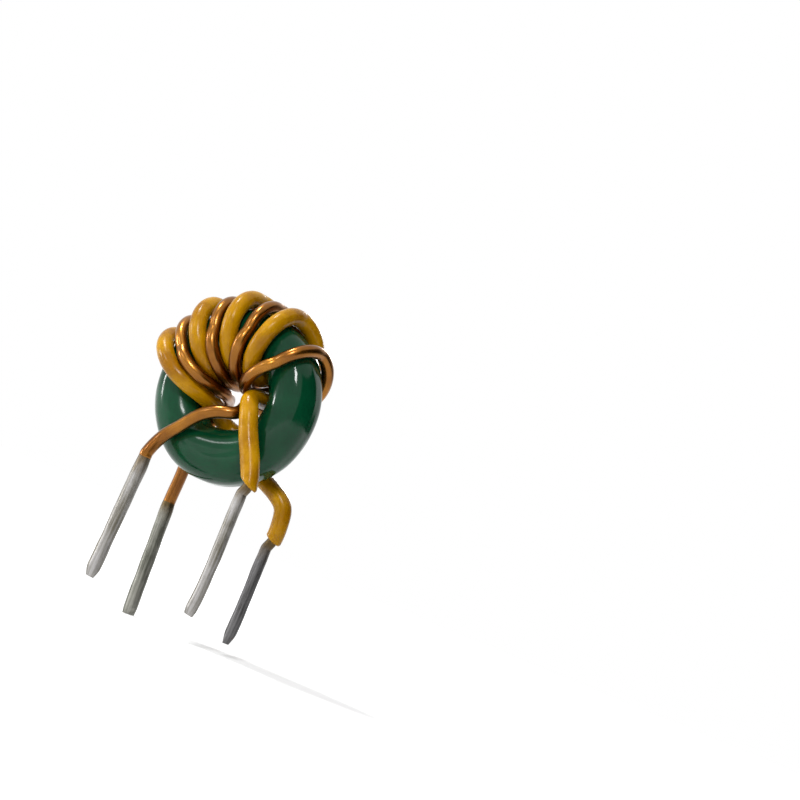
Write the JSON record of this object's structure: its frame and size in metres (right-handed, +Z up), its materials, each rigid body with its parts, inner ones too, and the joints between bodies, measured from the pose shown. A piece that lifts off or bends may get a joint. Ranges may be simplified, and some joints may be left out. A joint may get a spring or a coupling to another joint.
{
  "type": "toroidal inductor",
  "caption": "Through-hole toroidal inductor: green coated ring core with an enamelled copper winding and a yellow insulated winding side by side, standing on tinned leads.",
  "frame": {"origin": "middle of the lead pattern, on the top face of the board that takes the leads", "axes": "+Z up, away from the board; +Y along the ring's axis, from its front face to its rear face; +X from the copper leads to the yellow leads"},
  "size_m": [0.0105, 0.0054, 0.019],
  "materials": {
    "core_coating": "dark green epoxy coat, glossy and a little wavy",
    "enamelled_copper": "clear amber enamel on copper, glossy",
    "bare_copper": "bright drawn copper",
    "yellow_insulation": "deep yellow extruded insulation, glossy",
    "solder": "dipped tin solder, uneven, bright to grey"
  },
  "bodies": {
    "root": {"toroid_core": "core_coating", "copper_winding": "enamelled_copper", "yellow_conductor": "bare_copper", "yellow_insulation": "yellow_insulation", "front_copper_solder": "solder", "rear_copper_solder": "solder", "front_yellow_solder": "solder", "rear_yellow_solder": "solder"}
  },
  "joints": []
}
